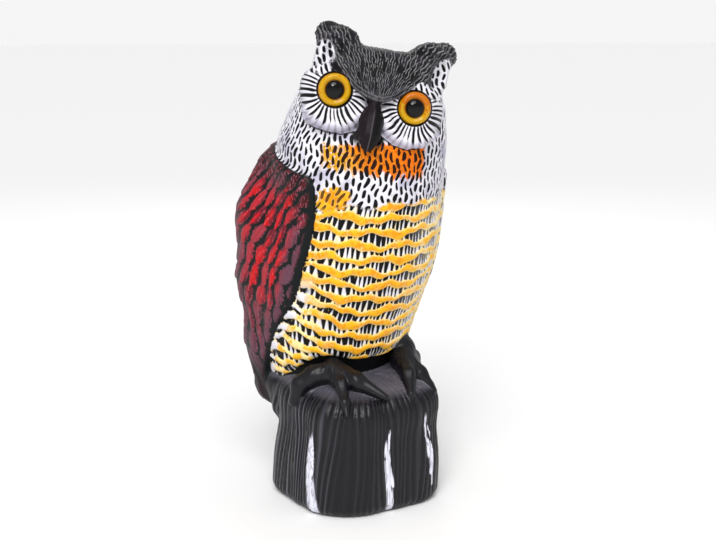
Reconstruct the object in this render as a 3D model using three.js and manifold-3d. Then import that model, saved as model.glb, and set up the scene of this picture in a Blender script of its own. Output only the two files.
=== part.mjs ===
import * as THREE from 'three';
import { mergeVertices } from 'three/addons/utils/BufferGeometryUtils.js';
import Module from 'manifold-3d';

// A hollow plastic horned owl that leans a little forward on a grooved stump.
// Millimetres, +Z up, breast towards -Y, the owl's own left wing towards +X.
// The head is turned to the owl's right and tilted, and carries two set-in eyes.

// Stump: a rounded square post with a waist
const FOOT_Z = -3.5;
const FOOT_EDGE = 10;
const STUMP_HALF = 68;
const STUMP_ROUND = 45;
const STUMP_WAIST = 3;
const STUMP_WAIST_Z = 68;
const STUMP_TOP = 110;
const STUMP_DOME = 34;
const STUMP_MID = [-3, 1.8];
const STUMP_LEAN = [0.04, -0.025];
const STUMP_FLARE = [[42, 60, 92, 19], [45, 52, 74, 14], [42, 50, 62, 8]];
const GROOVES = 40;
const GROOVE_DEPTH = 1.9;

// Trunk: middle line, radius and lower border of the breast, as [height, value]
const BREAST_WIDE = 1.06;
const BREAST_MID = [[100, 46], [140, 40], [170, 33], [215, 17], [262, 2], [305, -6], [330, -5], [350, -2]];
const BREAST_R = [
  [92, 46], [110, 56], [135, 64], [170, 71], [205, 74.5],
  [240, 73.5], [265, 71.5], [300, 71.5], [330, 71], [350, 64],
];
const HEM = [[-1, 97], [-0.6, 99], [0, 112], [0.35, 124], [0.7, 134], [1, 129]];
const HEM_STEP = 5;

// Wings, back and tail: balls [x, y, z, radius] joined by tapering runs
const WING = [[40, 40, 286, 40], [46, 50, 252, 41.8], [46, 60, 198, 38], [40, 71, 140, 31.5], [36, 81, 91, 26]];
const WING_THICK = 4.5;
const WING_TOP = 303;
const WING_EDGE = [
  [100, 66], [120, 54], [140, 38], [156, 24], [171, 10], [184, -2],
  [201, -12], [218, -19], [235, -26], [260, -33], [291, -36], [320, -30],
];
const BACK = [[0, 38, 292, 44], [0, 50, 240, 50], [0, 66, 150, 42], [0, 84, 88, 21]];
const NAPE = [-8, 15, 334, 38];

// Feather rows: [pitch, depth, wave] on the breast, and the zigzag of the wing rows
const ROW_TOP = 288;
const ROW_PITCH = 12;
const ROW_COUNT = 17;
const ROW_DEPTH = 1.5;
const ROW_WAVE = 2;
const SCALE_DEPTH = 1.5;
const SCALE_ZIGZAG = 3.2;

// Head: its own frame has a to the right of someone facing it, b up and c out of the face
const HEAD_AT = new THREE.Vector3(-3, -24, 366);
const HEAD_TURN = 27;
const HEAD_TILT = 12;
const SKULL = { at: [1.5, -15, -8], size: [61.5, 55, 54] };
const FACE = { at: [4, -8, 4], size: [64, 42, 37] };
const HEAD_CORE = [5, -12, 356];
const FACE_DROP = 1.1;
const FACE_TILT = 0.02;
const BROW_BEND = 0.0175;
const BROW_LOW = -2;
const CROWN_TOP = 40;
const EAR_SHIFT = 4.5;
const EAR = [[38, 28, 6, 22], [40.5, 37, 6, 18.5], [50.5, 46, 5, 11.2]];
const EAR_HOOD = [[33, 20, 31, 5.5], [38, 35, 26, 6.5], [46, 44, 18, 7], [53.5, 45.5, 10, 6.5]];
const EAR_HOLLOW = { at: [47, 29, 28], size: [9.5, 17, 13] };
const DISC = { at: [32, -1.5, 33], wide: 30.5, tall: 34.8, deep: 19, sweep: 0.012, lip: 13, flutes: 12, flute: 0.9 };
const BEAK = [[0, -4, 53, 5], [0, -18, 56.5, 8.5], [0, -30, 61, 8.5], [0.5, -41, 62.5, 5]];

// Eyes: a rounded ring round a domed pupil, on a round base in a socket
const EYE_AT = [34.5, 0, 46];
const EYE_R = 14;
const PUPIL_R = 7.7;
const EYE_SIDES = 20;
const EYE_BASE = 5;
const EYE_GAP = 0.3;

// Feet: each toe is a run of balls [x, y, z, radius]
const RIGHT_TOES = [
  [[-30, 2, 126, 11], [-35, -14, 120, 11], [-50, -5, 116, 9], [-60, 2, 107, 8.5], [-64, 6, 92, 6]],
  [[-35, -14, 120, 11], [-39, -34, 113, 5.5], [-44, -49, 101, 3.5], [-46, -56, 90, 2]],
  [[-35, -14, 120, 11], [-26, -38, 115, 8], [-9, -60, 103, 3]],
];
const LEFT_TOES = [
  [[31, 2, 126, 11], [38, -17, 122, 11], [54, -4, 118, 10], [63, 4, 107, 8.5], [65, 10, 91, 5]],
  [[38, -17, 122, 11], [43, -38, 112, 7], [49, -50, 98, 4]],
  [[38, -17, 122, 11], [29, -40, 114, 7], [20, -58, 101, 3.5]],
  [[38, -17, 122, 11], [44, -8, 128, 11.5], [39, -5, 138, 12]],
];

// How finely each shape is stepped
const FRONT_COLUMNS = 22;
const BACK_COLUMNS = 22;
const NECK_RINGS = [298, 312, 327, 342];
const TUCK_RINGS = [66, 76, 86];
const HEAD_ELEVATIONS = [7, 19, 31, 43, 57, 73];
const STUMP_RINGS = [0.3, 3.5, 9, 26, 48, 66, 80];
const STUMP_ELEVATIONS = [12, 26, 42];

const rad = THREE.MathUtils.degToRad;
const clamp = THREE.MathUtils.clamp;

function blend(a, b, k) {
  const h = clamp(0.5 + (0.5 * (b - a)) / k, 0, 1);
  return b * (1 - h) + a * h - k * h * (1 - h);
}

function trim(a, b, k) {
  return -blend(-a, -b, k);
}

// Smooth line through [place, value] keys, flat beyond both ends
function curve(place, keys) {
  const last = keys.length - 1;
  const t = clamp(place, keys[0][0], keys[last][0]);
  let i = 0;
  while (i < last - 1 && t > keys[i + 1][0]) i += 1;
  const slope = (n) => {
    if (n === 0 || n === last) return 0;
    return (keys[n + 1][1] - keys[n - 1][1]) / (keys[n + 1][0] - keys[n - 1][0]);
  };
  const width = keys[i + 1][0] - keys[i][0];
  const u = (t - keys[i][0]) / width;
  const start = keys[i][1] * (1 + 2 * u) * (1 - u) ** 2 + slope(i) * width * u * (1 - u) ** 2;
  const end = keys[i + 1][1] * u * u * (3 - 2 * u) + slope(i + 1) * width * u * u * (u - 1);
  return start + end;
}

function run(p, a, b) {
  const ab = new THREE.Vector3(b[0] - a[0], b[1] - a[1], b[2] - a[2]);
  const ap = new THREE.Vector3(p.x - a[0], p.y - a[1], p.z - a[2]);
  const h = clamp(ap.dot(ab) / ab.lengthSq(), 0, 1);
  return ap.addScaledVector(ab, -h).length() - (a[3] + (b[3] - a[3]) * h);
}

function runs(p, balls, k) {
  let d = run(p, balls[0], balls[1]);
  for (let i = 1; i < balls.length - 1; i += 1) d = blend(d, run(p, balls[i], balls[i + 1]), k);
  return d;
}

function ellipsoid(p, { at, size }) {
  const q = [(p.x - at[0]) / size[0], (p.y - at[1]) / size[1], (p.z - at[2]) / size[2]];
  const near = Math.hypot(...q);
  return (near * (near - 1)) / Math.hypot(q[0] / size[0], q[1] / size[1], q[2] / size[2]);
}

const turn = rad(HEAD_TURN);
const tilt = rad(HEAD_TILT);
const faceOut = new THREE.Vector3(-Math.sin(turn), -Math.cos(turn), 0);
const level = new THREE.Vector3(Math.cos(turn), -Math.sin(turn), 0);
const headRight = level.clone().multiplyScalar(Math.cos(tilt)).add(new THREE.Vector3(0, 0, -Math.sin(tilt)));
const headUp = level.clone().multiplyScalar(Math.sin(tilt)).add(new THREE.Vector3(0, 0, Math.cos(tilt)));
const headFrame = new THREE.Matrix4().makeBasis(headRight, headUp, faceOut).setPosition(HEAD_AT);
const toHead = headFrame.clone().invert();

function stumpField(p) {
  const x = Math.abs(p.x - STUMP_MID[0] - STUMP_LEAN[0] * p.z);
  const y = Math.abs(p.y - STUMP_MID[1] - STUMP_LEAN[1] * p.z);
  const waist = STUMP_WAIST * Math.exp(-(((p.z - STUMP_WAIST_Z) / 24) ** 2));
  const inner = STUMP_HALF - waist - STUMP_ROUND;
  const out = Math.hypot(Math.max(x - inner, 0), Math.max(y - inner, 0));
  const side = out + Math.min(Math.max(x - inner, y - inner), 0) - STUMP_ROUND;
  const edge = [side + FOOT_EDGE, FOOT_Z - p.z + FOOT_EDGE];
  const corner = Math.hypot(Math.max(edge[0], 0), Math.max(edge[1], 0));
  const block = corner + Math.min(Math.max(edge[0], edge[1]), 0) - FOOT_EDGE;
  const top = STUMP_TOP + 0.12 * (p.y + 20) + 0.06 * p.x;
  const flare = runs(new THREE.Vector3(Math.abs(p.x), p.y, p.z), STUMP_FLARE, 6);
  return blend(trim(block, p.z - top, STUMP_DOME), flare, 5);
}

function breastField(p, inset) {
  const r = Math.hypot(p.x / BREAST_WIDE, p.y - curve(p.z, BREAST_MID));
  const side = (r - curve(p.z, BREAST_R) + inset) * 0.95;
  return trim(trim(side, p.z - 352, 30), 70 - p.z, 20);
}

function hemHeight(x, y) {
  return curve(-(y - 30) / (Math.hypot(x, y - 30) + 1e-6), HEM);
}

function trunkField(p) {
  const vest = trim(breastField(p, 0), (hemHeight(p.x, p.y) - p.z) * 0.75, 5);
  return blend(breastField(p, HEM_STEP), vest, 2);
}

function wingField(p) {
  const side = new THREE.Vector3(Math.abs(p.x), p.y, p.z);
  const whole = blend(runs(side, WING, 20), breastField(p, -WING_THICK), 10);
  const edged = trim(whole, (curve(p.z, WING_EDGE) - p.y) * 0.8, 4);
  return trim(edged, (p.z - WING_TOP - 0.3 * (p.y + 20)) * 0.9, 6);
}

function birdField(p) {
  const nape = p.distanceTo(new THREE.Vector3(NAPE[0], NAPE[1], NAPE[2])) - NAPE[3];
  const back = blend(trunkField(p), Math.min(runs(p, BACK, 25), nape), 25);
  const winged = blend(back, wingField(p), 3);
  const h = p.clone().applyMatrix4(toHead);
  const head = blend(ellipsoid(h, SKULL), ellipsoid(h, FACE), 8);
  const whole = blend(winged, head, 22);
  return Math.min(whole, run(p, [0, 22, 70, 30], [0, 20, 150, 30]));
}

// Distance from a point inside a shape to its skin
function reach(field, from, way) {
  let t = 200;
  for (let i = 0; i < 90; i += 1) {
    const d = field(from.clone().addScaledVector(way, t));
    if (d < 0.01) break;
    t -= d * 0.85;
  }
  return t;
}

// Closed body through rings of points: counterclockwise about the direction they climb in
function loft(rings, first, last) {
  const sides = rings[0].length;
  const points = rings.flat().concat([first, last]);
  const index = [];
  const base = points.length - 2;
  for (let i = 0; i < rings.length - 1; i += 1) {
    for (let j = 0; j < sides; j += 1) {
      const k = (j + 1) % sides;
      const low = i * sides;
      const high = low + sides;
      index.push(low + j, low + k, high + k, low + j, high + k, high + j);
    }
  }
  const top = (rings.length - 1) * sides;
  for (let j = 0; j < sides; j += 1) {
    const k = (j + 1) % sides;
    index.push(base, k, j, base + 1, top + j, top + k);
  }
  const geometry = new THREE.BufferGeometry().setFromPoints(points);
  geometry.setIndex(index);
  return geometry;
}

// Tapering limb with a rounded far end
function limb(balls, sides) {
  const rings = [];
  const centres = balls.map((ball) => new THREE.Vector3(ball[0], ball[1], ball[2]));
  const last = centres.length - 1;
  const end = centres[last].clone().sub(centres[last - 1]).normalize();
  const stations = balls.map((ball, i) => ({ at: centres[i], r: ball[3] }));
  const tip = balls[last][3];
  stations.push({ at: centres[last].clone().addScaledVector(end, tip * 0.65), r: tip * 0.72 });
  stations.forEach(({ at, r }, i) => {
    const before = stations[Math.max(i - 1, 0)].at;
    const after = stations[Math.min(i + 1, stations.length - 1)].at;
    const along = after.clone().sub(before).normalize();
    const across = new THREE.Vector3(0.21, 0.33, 0.92).cross(along).normalize();
    const third = along.clone().cross(across);
    rings.push(Array.from({ length: sides }, (_, j) => {
      const angle = (2 * Math.PI * j) / sides;
      const point = at.clone().addScaledVector(across, r * Math.cos(angle));
      return point.addScaledVector(third, r * Math.sin(angle));
    }));
  });
  return loft(rings, centres[0], centres[last].clone().addScaledVector(end, tip));
}

function spine(z) {
  const home = curve(z, BREAST_MID);
  return new THREE.Vector3(curve(z, [[300, 0], [350, HEAD_CORE[0]]]), home, z);
}

// Where one ring of the trunk stands at one column: rows dip and rise, wing rows zigzag
function trunkPoint(height, row, lip, column) {
  const edge = curve(height, WING_EDGE);
  const middle = spine(height);
  const meet = height < 305 ? Math.atan2(70, middle.y - edge) : rad(68);
  const total = FRONT_COLUMNS + BACK_COLUMNS;
  const half = FRONT_COLUMNS / 2;
  const place = column < total / 2 ? column : column - total;
  const size = Math.abs(place);
  const front = size <= half;
  const sweep = front ? (meet - 0.03) * (size / half)
    : meet + 0.03 + (Math.PI - meet - 0.03) * ((size - half - 1) / (total / 2 - half - 1));
  const angle = Math.sign(place) * sweep;
  let z = height;
  if (row >= 0 && front) z += ROW_WAVE * Math.sin(5.5 * angle + 1.3 * row);
  if (row >= 0 && !front) z += SCALE_ZIGZAG * (((size + row) % 2) * 2 - 1);
  const from = spine(z);
  const way = new THREE.Vector3(Math.sin(angle), -Math.cos(angle), 0);
  let out = reach(birdField, from, way);
  const depth = front ? ROW_DEPTH : SCALE_DEPTH;
  const covered = front && z < hemHeight(way.x * out, from.y + way.y * out) + 2;
  if (row >= 0 && !covered) out += lip * depth;
  return from.addScaledVector(way, out);
}

function trunk() {
  const rings = [];
  const columns = Array.from({ length: FRONT_COLUMNS + BACK_COLUMNS }, (_, j) => j);
  TUCK_RINGS.forEach((z) => rings.push(columns.map((j) => trunkPoint(z, -1, 0, j))));
  for (let row = ROW_COUNT - 1; row >= 0; row -= 1) {
    const z = ROW_TOP - ROW_PITCH * row;
    rings.push(columns.map((j) => trunkPoint(z - 1, row, -0.8, j)));
    rings.push(columns.map((j) => trunkPoint(z + 1, row, 1, j)));
  }
  NECK_RINGS.forEach((z) => rings.push(columns.map((j) => trunkPoint(z, -1, 0, j))));
  const from = new THREE.Vector3(...HEAD_CORE);
  HEAD_ELEVATIONS.forEach((elevation) => {
    const up = rad(elevation);
    rings.push(columns.map((j) => {
      const side = trunkPoint(NECK_RINGS[NECK_RINGS.length - 1], -1, 0, j).sub(from).setZ(0).normalize();
      const way = side.multiplyScalar(Math.cos(up)).setZ(Math.sin(up));
      return from.clone().addScaledVector(way, reach(birdField, from, way));
    }));
  });
  const top = new THREE.Vector3(0, 0, 1);
  const crest = from.clone().addScaledVector(top, reach(birdField, from, top));
  return loft(rings, spine(TUCK_RINGS[0]), crest);
}

function stump() {
  const sides = GROOVES * 2;
  const rings = [];
  const ring = (from, up, groove) => Array.from({ length: sides }, (_, j) => {
    const angle = (2 * Math.PI * (j + 0.35 * Math.sin(j * 1.9))) / sides;
    const way = new THREE.Vector3(Math.cos(angle) * Math.cos(up), Math.sin(angle) * Math.cos(up), Math.sin(up));
    const out = reach(stumpField, from, way) - (j % 2) * groove;
    return from.clone().addScaledVector(way, out);
  });
  STUMP_RINGS.forEach((z, i) => {
    rings.push(ring(new THREE.Vector3(0, 0, FOOT_Z + z), 0, i === 0 ? 0 : GROOVE_DEPTH));
  });
  rings[0].forEach((point) => point.setZ(FOOT_Z));
  const middle = new THREE.Vector3(0, 0, FOOT_Z + STUMP_RINGS[STUMP_RINGS.length - 1]);
  STUMP_ELEVATIONS.forEach((elevation, i) => {
    rings.push(ring(middle, rad(elevation), GROOVE_DEPTH * (1 - i / 4)));
  });
  const up = new THREE.Vector3(0, 0, 1);
  const crest = middle.clone().addScaledVector(up, reach(stumpField, middle, up));
  return loft(rings, new THREE.Vector3(0, 0, FOOT_Z), crest);
}

// Brow and crown in one: sections across the head, from the owl's right ear to its left
function crown() {
  const stations = [-42, -35, -28, -21, -14, -8, -3, 3, 8, 14, 21, 28, 35, 42, 49];
  const rings = stations.map((a) => {
    const low = BROW_BEND * a * a + BROW_LOW;
    const high = Math.max(CROWN_TOP + 0.06 * a + 0.002 * a * a, low + 3);
    const face = (b) => 60 - 0.8 * (b - BROW_LOW) - 0.002 * a * a;
    const middle = (low + high) / 2;
    const rear = Math.min(0.011 * a * a - 20, face(high) - 16);
    return [
      [low, rear + 6],
      [low, face(low) - 3],
      [low + 1.2, face(low + 1.2)],
      [middle, face(middle) + 1],
      [high - 5, face(high - 5)],
      [high, face(high) - 6],
      [high - 1, rear + 10],
      [middle, rear],
    ].map(([b, c]) => new THREE.Vector3(a, b, c));
  });
  const centre = (ring) => ring.reduce((sum, p) => sum.add(p), new THREE.Vector3()).divideScalar(ring.length);
  return loft(rings.map((ring) => ring.reverse()), centre(rings[0]), centre(rings[rings.length - 1]));
}

// The face hangs a little lower and more aslant than the brow
function hung(a, b) {
  return b - FACE_DROP - FACE_TILT * a;
}

// Fan of stiff feathers round one eye, with a thick lip below
function disc(side) {
  const sides = DISC.flutes * 2;
  const steps = [[0.3, 0, 0], [0.48, 0.4, 0], [0.72, 1, 0.2], [0.88, 0.7, 0.95], [1, 0, 1], [0.96, 0, 0]];
  const rings = steps.map(([share, flute, lip], i) => Array.from({ length: sides }, (_, j) => {
    const angle = (2 * Math.PI * j) / sides;
    const up = Math.sin(angle);
    const tall = up > 0 ? DISC.tall / 1.4 : DISC.tall;
    const bulge = i === steps.length - 1 ? -12 : DISC.deep * Math.sqrt(1 - Math.min(share, 1) ** 2);
    const out = DISC.wide * share * Math.cos(angle);
    const back = DISC.sweep * Math.max(side * out, 0) ** 2;
    const raised = DISC.lip * lip * THREE.MathUtils.smoothstep(-up, 0.15, 0.7);
    const c = DISC.at[2] + bulge + raised - back - (j % 2) * flute * DISC.flute;
    const a = side * DISC.at[0] + out;
    return new THREE.Vector3(a, hung(a, DISC.at[1] + tall * share * up), c);
  }));
  const middle = hung(side * DISC.at[0], DISC.at[1]);
  const back = new THREE.Vector3(side * DISC.at[0], middle, DISC.at[2] - 12);
  const front = new THREE.Vector3(side * DISC.at[0], middle, DISC.at[2] + DISC.deep);
  return loft(rings.reverse(), back, front);
}

function ear(side) {
  const place = ([out, b, ...rest]) => [side * out + EAR_SHIFT, hung(side * out + EAR_SHIFT, b), ...rest];
  const hollow = new THREE.SphereGeometry(1, 12, 8);
  hollow.scale(...EAR_HOLLOW.size);
  hollow.translate(...place(EAR_HOLLOW.at));
  return { horn: limb(EAR.map(place), 14), hood: limb(EAR_HOOD.map(place), 8), hollow };
}

function eye() {
  const ringMid = (EYE_R + PUPIL_R) / 2;
  const ringHalf = (EYE_R - PUPIL_R) / 2;
  const profile = [
    [0, -EYE_BASE],
    [EYE_R, -EYE_BASE],
    [EYE_R, 0.8],
    [ringMid + ringHalf * 0.6, 3.1],
    [ringMid, 3.8],
    [PUPIL_R + 0.3, 2.4],
    [PUPIL_R * 0.86, 4.1],
    [PUPIL_R * 0.45, 5.6],
    [0, 6.1],
  ].map(([r, h]) => new THREE.Vector2(r, h));
  return new THREE.LatheGeometry(profile, EYE_SIDES).rotateX(Math.PI / 2);
}

const wasm = await Module();
wasm.setup();

function solid(geometry, frame) {
  let shape = geometry.clone();
  if (frame) shape.applyMatrix4(frame);
  shape.deleteAttribute('normal');
  shape.deleteAttribute('uv');
  shape = mergeVertices(shape, 1e-4);
  const mesh = new wasm.Mesh({
    numProp: 3,
    vertProperties: new Float32Array(shape.attributes.position.array),
    triVerts: new Uint32Array(shape.index.array),
  });
  return new wasm.Manifold(mesh);
}

function shapeOf(manifold) {
  const mesh = manifold.getMesh();
  const geometry = new THREE.BufferGeometry();
  geometry.setAttribute('position', new THREE.BufferAttribute(new Float32Array(mesh.vertProperties), 3));
  geometry.setIndex(outerSkin(Array.from(mesh.triVerts)));
  return geometry;
}

// Triangles of the largest connected skin: small pockets sealed inside a join are filled
function outerSkin(index) {
  const parent = new Map();
  const find = (v) => {
    let root = v;
    while (parent.has(root) && parent.get(root) !== root) root = parent.get(root);
    parent.set(v, root);
    return root;
  };
  for (let i = 0; i < index.length; i += 3) {
    const root = find(index[i]);
    parent.set(find(index[i + 1]), root);
    parent.set(find(index[i + 2]), root);
  }
  const size = new Map();
  index.forEach((v) => size.set(find(v), (size.get(find(v)) || 0) + 1));
  const largest = [...size.entries()].reduce((best, entry) => (entry[1] > best[1] ? entry : best))[0];
  return index.filter((v) => find(v) === largest);
}

let body = solid(trunk()).add(solid(stump()));
body = body.add(solid(crown(), headFrame));
[-1, 1].forEach((side) => {
  const { horn, hood, hollow } = ear(side);
  const cup = solid(hollow, headFrame);
  body = body.add(solid(horn, headFrame).add(solid(hood, headFrame)).subtract(cup));
  body = body.add(solid(disc(side), headFrame));
});
const beak = BEAK.map(([a, b, ...rest]) => [a, hung(a, b), ...rest]);
body = body.add(solid(limb(beak, 10), headFrame));
RIGHT_TOES.concat(LEFT_TOES).forEach((toe) => {
  body = body.add(solid(limb(toe, 8)));
});
[-1, 1].forEach((side) => {
  const depth = 40;
  const socket = new THREE.CylinderGeometry(EYE_R + EYE_GAP, EYE_R + EYE_GAP, depth, EYE_SIDES);
  socket.rotateX(Math.PI / 2);
  const out = EYE_AT[2] - EYE_BASE - EYE_GAP + depth / 2;
  socket.translate(side * EYE_AT[0], hung(side * EYE_AT[0], EYE_AT[1]), out);
  body = body.subtract(solid(socket, headFrame));
});

const bodyShape = shapeOf(body);
bodyShape.computeBoundingBox();
const box = bodyShape.boundingBox;
const home = new THREE.Vector3((box.min.x + box.max.x) / 2, (box.min.y + box.max.y) / 2, box.min.z).negate();

const paint = new THREE.MeshStandardMaterial({ color: 0xd8c48c, roughness: 0.5, metalness: 0 });
const amber = new THREE.MeshStandardMaterial({ color: 0xd99a12, roughness: 0.15, metalness: 0 });

const owl = new THREE.Group();
owl.position.copy(home);

const bodyMesh = new THREE.Mesh(bodyShape, paint);
bodyMesh.name = 'owl_body';
owl.add(bodyMesh);

const head = new THREE.Group();
headFrame.decompose(head.position, head.quaternion, head.scale);
[['right_eye', -1], ['left_eye', 1]].forEach(([name, side]) => {
  const mesh = new THREE.Mesh(eye(), amber);
  mesh.name = name;
  mesh.position.set(side * EYE_AT[0], hung(side * EYE_AT[0], EYE_AT[1]), EYE_AT[2]);
  head.add(mesh);
});
owl.add(head);

const part = new THREE.Group();
part.add(owl);

export default part;
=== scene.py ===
"""Painted plastic owl on a grooved stump: its fine relief, its paint and its glossy eyes.

The figure is one hollow moulding with two set-in eyes. Its shape is a distance field built from named
balls, limbs and profiles, and a fine mesh is drawn over that field. The marks on it, such as feathers,
dashes and grooves, are formulas used twice: with arrays of points for the relief and with material
nodes for the paint, so that every painted mark sits in its own hollow.

Sizes here are in millimetres in the figure's own frame: the floor is at FLOOR_Z, the owl looks
towards -Y and its left side is +X. The head has a frame of its own: a to the owl's left, b up, c forward.
"""

import math
from types import SimpleNamespace

import bpy
import numpy as np
from mathutils import Matrix, Vector


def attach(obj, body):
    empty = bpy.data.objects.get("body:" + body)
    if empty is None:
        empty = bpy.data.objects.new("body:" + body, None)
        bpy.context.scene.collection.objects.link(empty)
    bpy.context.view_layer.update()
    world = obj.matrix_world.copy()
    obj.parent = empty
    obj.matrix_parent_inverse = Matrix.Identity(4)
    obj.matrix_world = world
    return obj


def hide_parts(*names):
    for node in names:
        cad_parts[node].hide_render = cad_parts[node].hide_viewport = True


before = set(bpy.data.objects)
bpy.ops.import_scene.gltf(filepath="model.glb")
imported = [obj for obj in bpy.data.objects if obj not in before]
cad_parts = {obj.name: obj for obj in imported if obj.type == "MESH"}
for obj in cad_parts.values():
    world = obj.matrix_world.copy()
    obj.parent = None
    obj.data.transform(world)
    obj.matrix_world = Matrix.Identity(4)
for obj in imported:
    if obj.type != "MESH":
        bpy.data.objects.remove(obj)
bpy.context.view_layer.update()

MM = 0.001

# Fineness of the mesh
PITCH = 1.15
TRIANGLES = 198000
FIELD_LOW = (-106.0, -122.0, -12.0)
FIELD_HIGH = (106.0, 126.0, 442.0)

# Stump: a rounded square block, leaning a little, with a domed top
FLOOR_Z = -3.5
STUMP_AT = (-3.0, 1.8)
STUMP_LEAN = (0.04, -0.025)
STUMP_HALF = 68.0
STUMP_ROUND = 45.0
STUMP_WAIST = 3.0
STUMP_WAIST_Z = 68.0
STUMP_WAIST_TALL = 24.0
STUMP_TOP = 110.0
STUMP_TOP_RISE = 0.12
STUMP_TOP_LEAN = 0.06
STUMP_TOP_FRONT = -20.0
STUMP_DOME = 34.0
STUMP_FOOT = 10.0
STUMP_FLARE = (((42, 60, 92), 19), ((45, 52, 74), 14), ((42, 50, 62), 8))
GROOVES = 78
GROOVE_DEPTH = 1.9

# Breast: where its middle lies and how wide it is, by height
BREAST_MID = ((100, 46), (140, 40), (170, 33), (215, 17), (262, 2), (305, -6), (330, -5), (350, -2))
BREAST_RADIUS = ((92, 46), (110, 56), (135, 64), (170, 71), (205, 74.5), (240, 73.5), (265, 71.5),
                 (300, 71.5), (330, 71), (350, 64))
BREAST_BROAD = 1.06
BREAST_TOP = 352.0
BREAST_FOOT = 70.0
NAPE = ((-8, 15, 334), 38)
HEM_BACK = 30.0
HEM = ((-1.0, 97), (-0.6, 99), (0.0, 112), (0.35, 124), (0.7, 134), (1.0, 129))
HEM_INSET = 5.0

# Wings: balls along each wing, and the front edge's place by height
WING = (((40, 40, 286), 40), ((46, 50, 252), 41.8), ((46, 60, 198), 38), ((40, 71, 140), 31.5),
        ((36, 81, 91), 26))
WING_THICK = 4.5
WING_EDGE = ((100, 66), (120, 54), (140, 38), (156, 24), (171, 10), (184, -2), (201, -12), (218, -19),
             (235, -26), (260, -33), (291, -36), (320, -30))
SHOULDER = 303.0
SHOULDER_RISE = 0.3
SHOULDER_FRONT = -20.0
BACK = (((0, 38, 292), 44), ((0, 50, 240), 50), ((0, 66, 150), 42), ((0, 84, 88), 21))

# Head, turned to the owl's right and tilted
HEAD_AT = (-3.0, -24.0, 366.0)
HEAD_TURN = 27.0
HEAD_TILT = 12.0
SKULL = ((1.5, -15, -8), (61.5, 55, 54))
FACE = ((4, -8, 4), (64, 42, 37))
FACE_DROP = 1.1
FACE_TILT = 0.02
EYE_AT = (34.5, 0.0, 46.0)
EYE_R = 14.0
PUPIL_R = 7.7
EYE_BASE = 5.0
EYE_GAP = 0.3
EAR_SHIFT = 4.5
EAR_DROP = 1.1
EAR_TILT = 0.02
EAR = (((38, 28, 6), 22), ((40.5, 37, 6), 18.5), ((50.5, 46, 5), 11.2))
EAR_HOLLOW = ((47, 29, 28), (9.5, 17, 13))
EAR_HOOD = (((33, 20, 31), 5.5), ((38, 35, 26), 6.5), ((46, 44, 18), 7), ((53.5, 45.5, 10), 6.5))
DISC = ((32, -1.0, 33), (30.5, 32.8, 19))
DISC_SWEEP = 0.012
DISC_FLAT = 1.4
DISC_LIP = (((9.5, -10, 50), 4), ((12.5, -16, 52), 4.5), ((17, -22, 52), 4.8), ((24, -26.5, 51.5), 4.8),
            ((34, -28, 50), 4.8), ((45, -26, 47), 4.5), ((54, -20, 42), 4))
EYE_BED = ((34.5, 0, 56), (19, 19, 8))
BROW_BEND = 0.0175
BROW_LOW = -2.0
CROWN_TOP = 40.0
CROWN_HALF = 54.0
CROWN_FRONT = 60.0
CROWN_BACK = 26.0
CROWN_SLANT = 46.0
BEAK = (((0, -4, 53), 5), ((0, -18, 56.5), 8.5), ((0, -30, 61), 8.5), ((0.5, -38.5, 62.5), 5))
BEAK_RIM = 1.3

# Eye profile outwards from the axis: radius and height over the eye's seat
IRIS_HEIGHTS = ((7.4, 2.4), (8.2, 2.45), (9.2, 3.1), (10.6, 3.75), (11.8, 3.65), (12.9, 2.9),
                (13.7, 1.9), (14.0, 0.8))
PUPIL_HIGH = 6.1
PUPIL_SEAT = 2.4
EYE_SIDES = 96

# Feet: a knuckle each and the toes that leave it; the left foot's last run is its leg, and fine
# creases spread over both feet from where their toes meet
TOES_MEET = (36.5, -15.5)
RIGHT_KNUCKLE = ((-35, -14, 120), 11)
RIGHT_TOES = (
    (((-50, -5, 116), 9), ((-60, 2, 107), 8.5), ((-64, 6, 92), 6)),
    (((-39, -34, 113), 5.5), ((-44, -49, 101), 3.5), ((-46, -56, 90), 2)),
    (((-26, -38, 115), 8), ((-9, -60, 103), 3)),
)
LEFT_KNUCKLE = ((38, -17, 122), 11)
LEFT_TOES = (
    (((54, -4, 118), 10), ((63, 4, 107), 8.5), ((65, 10, 91), 5)),
    (((43, -38, 112), 7), ((49, -50, 98), 4)),
    (((29, -40, 114), 7), ((20, -58, 101), 3.5)),
    (((44, -8, 128), 11.5), ((39, -5, 138), 12)),
)

# Heights beyond which a part has no effect
TRUNK_FROM = 42
WING_TO = 330
HEAD_FROM = 262
STUMP_TO = 150
FEET_FROM = 72
FEET_TO = 158
STUMP_MARKS_TO = 160

# Breast feathers: wavy bands with toothed gaps between them, the lower ones lifted at the flanks
AROUND_R = 72.0
ROW_TOP = 275.0
ROW_PITCH = 12.3
ROW_COUNT = 16
ROW_SAG = 2.6
ROW_WAVE = 1.9
ROW_RIPPLE = 0.9
FLANK_FROM = 38
FLANK_WIDE = 36
FLANK_LIFT = 11
BAND_HALF = 3.1
TOOTH_PITCH = 4.7

# Neck net: dark dashes between pale ridges
DASH_WIDE = 5.3
DASH_TALL = 9.8

# Wing feathers, laid along lines that sweep down and back; the border at the front of the left wing
# is painted like the breast and neck beside it
SCALE_LONG = 23.0
SCALE_WIDE = 12.0
SCALE_LEAN = (0.79, 0.61)
SCALE_BEND = 0.002
SCALE_Z = 240.0
WING_R = 88.0
WING_MID = 25.0
LEFT_BORDER = 12

# Face and brow: dark rays round each eye, pale wriggling lines up from the brow's point
EYE_RAYS = 34
DISC_FLUTES = 35
VEINS = 24
VEINS_FROM = -22
PATCH_AT = (52.5, 21.0)
PATCH_HALF = (9.5, 18.0)

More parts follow.
